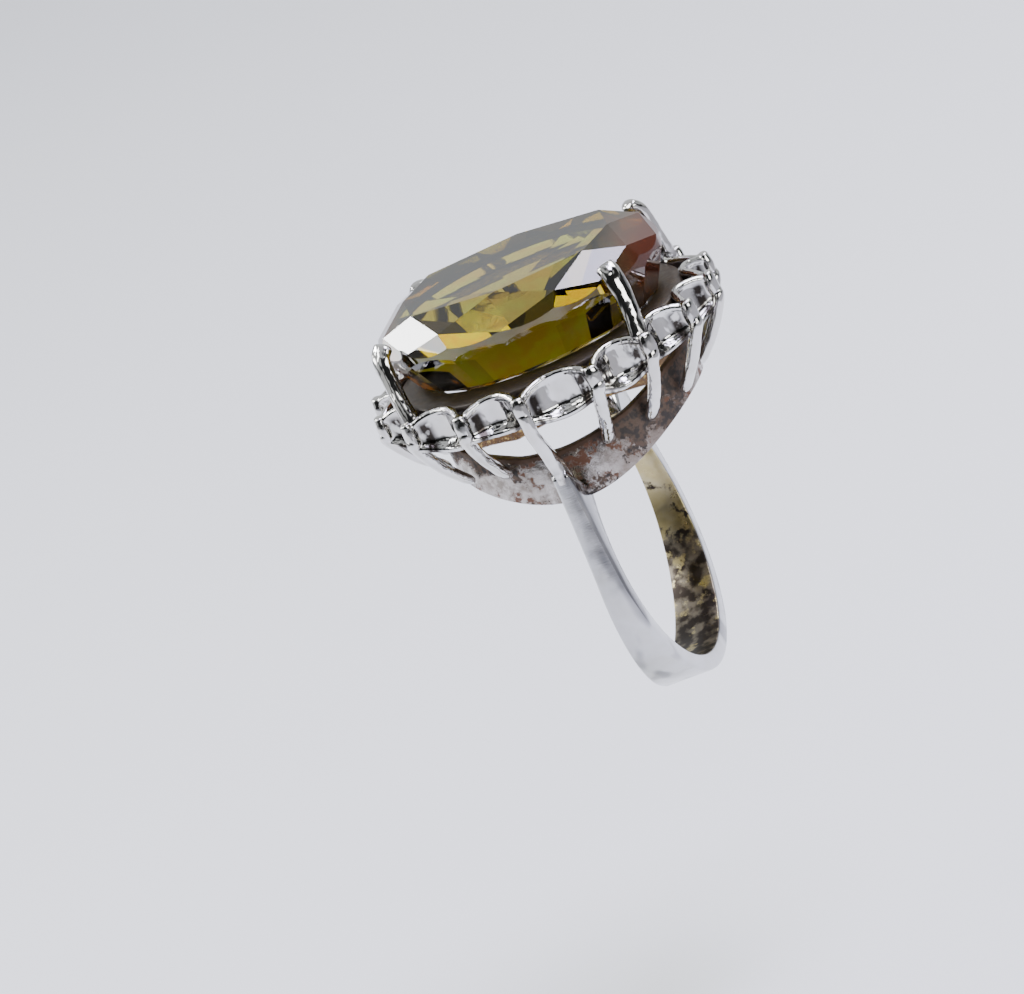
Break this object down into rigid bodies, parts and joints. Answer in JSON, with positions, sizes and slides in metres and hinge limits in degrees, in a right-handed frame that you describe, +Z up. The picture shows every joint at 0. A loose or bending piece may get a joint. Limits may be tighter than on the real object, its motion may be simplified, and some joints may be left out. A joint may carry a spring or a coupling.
{
  "type": "cocktail ring",
  "caption": "Cocktail ring: a large oval faceted stone in claws above a ruffled silver collar, with wire struts down to an oval base rail and a tapered shank.",
  "frame": {"origin": "centre of the finger hole", "axes": "+X runs along the finger, the long way of the oval stone; +Y runs across the finger; +Z points up through the stone's table"},
  "size_m": [0.026, 0.0234, 0.0311],
  "materials": {
    "stone": "polished, transparent, olive to amber brown",
    "silver_polished": "polished silver",
    "silver_shank": "polished silver, tarnished yellow and dark inside",
    "silver_oxidised": "oxidised silver with brown and black patches"
  },
  "bodies": {
    "root": {"stone": "stone", "base_rail": "silver_oxidised", "shank": "silver_shank", "ruffle_collar": "silver_polished", "seat_ring": "silver_oxidised", "claw_near_right": "silver_polished", "claw_near_left": "silver_polished", "claw_far_right": "silver_polished", "claw_far_left": "silver_polished", "strut_01": "silver_polished", "strut_02": "silver_polished", "strut_03": "silver_polished", "strut_04": "silver_polished", "strut_05": "silver_polished", "strut_06": "silver_polished", "strut_07": "silver_polished", "strut_08": "silver_polished", "strut_09": "silver_polished", "strut_10": "silver_polished", "strut_11": "silver_polished", "strut_12": "silver_polished", "strut_13": "silver_polished", "strut_14": "silver_polished", "strut_15": "silver_polished", "strut_16": "silver_polished"}
  },
  "joints": []
}
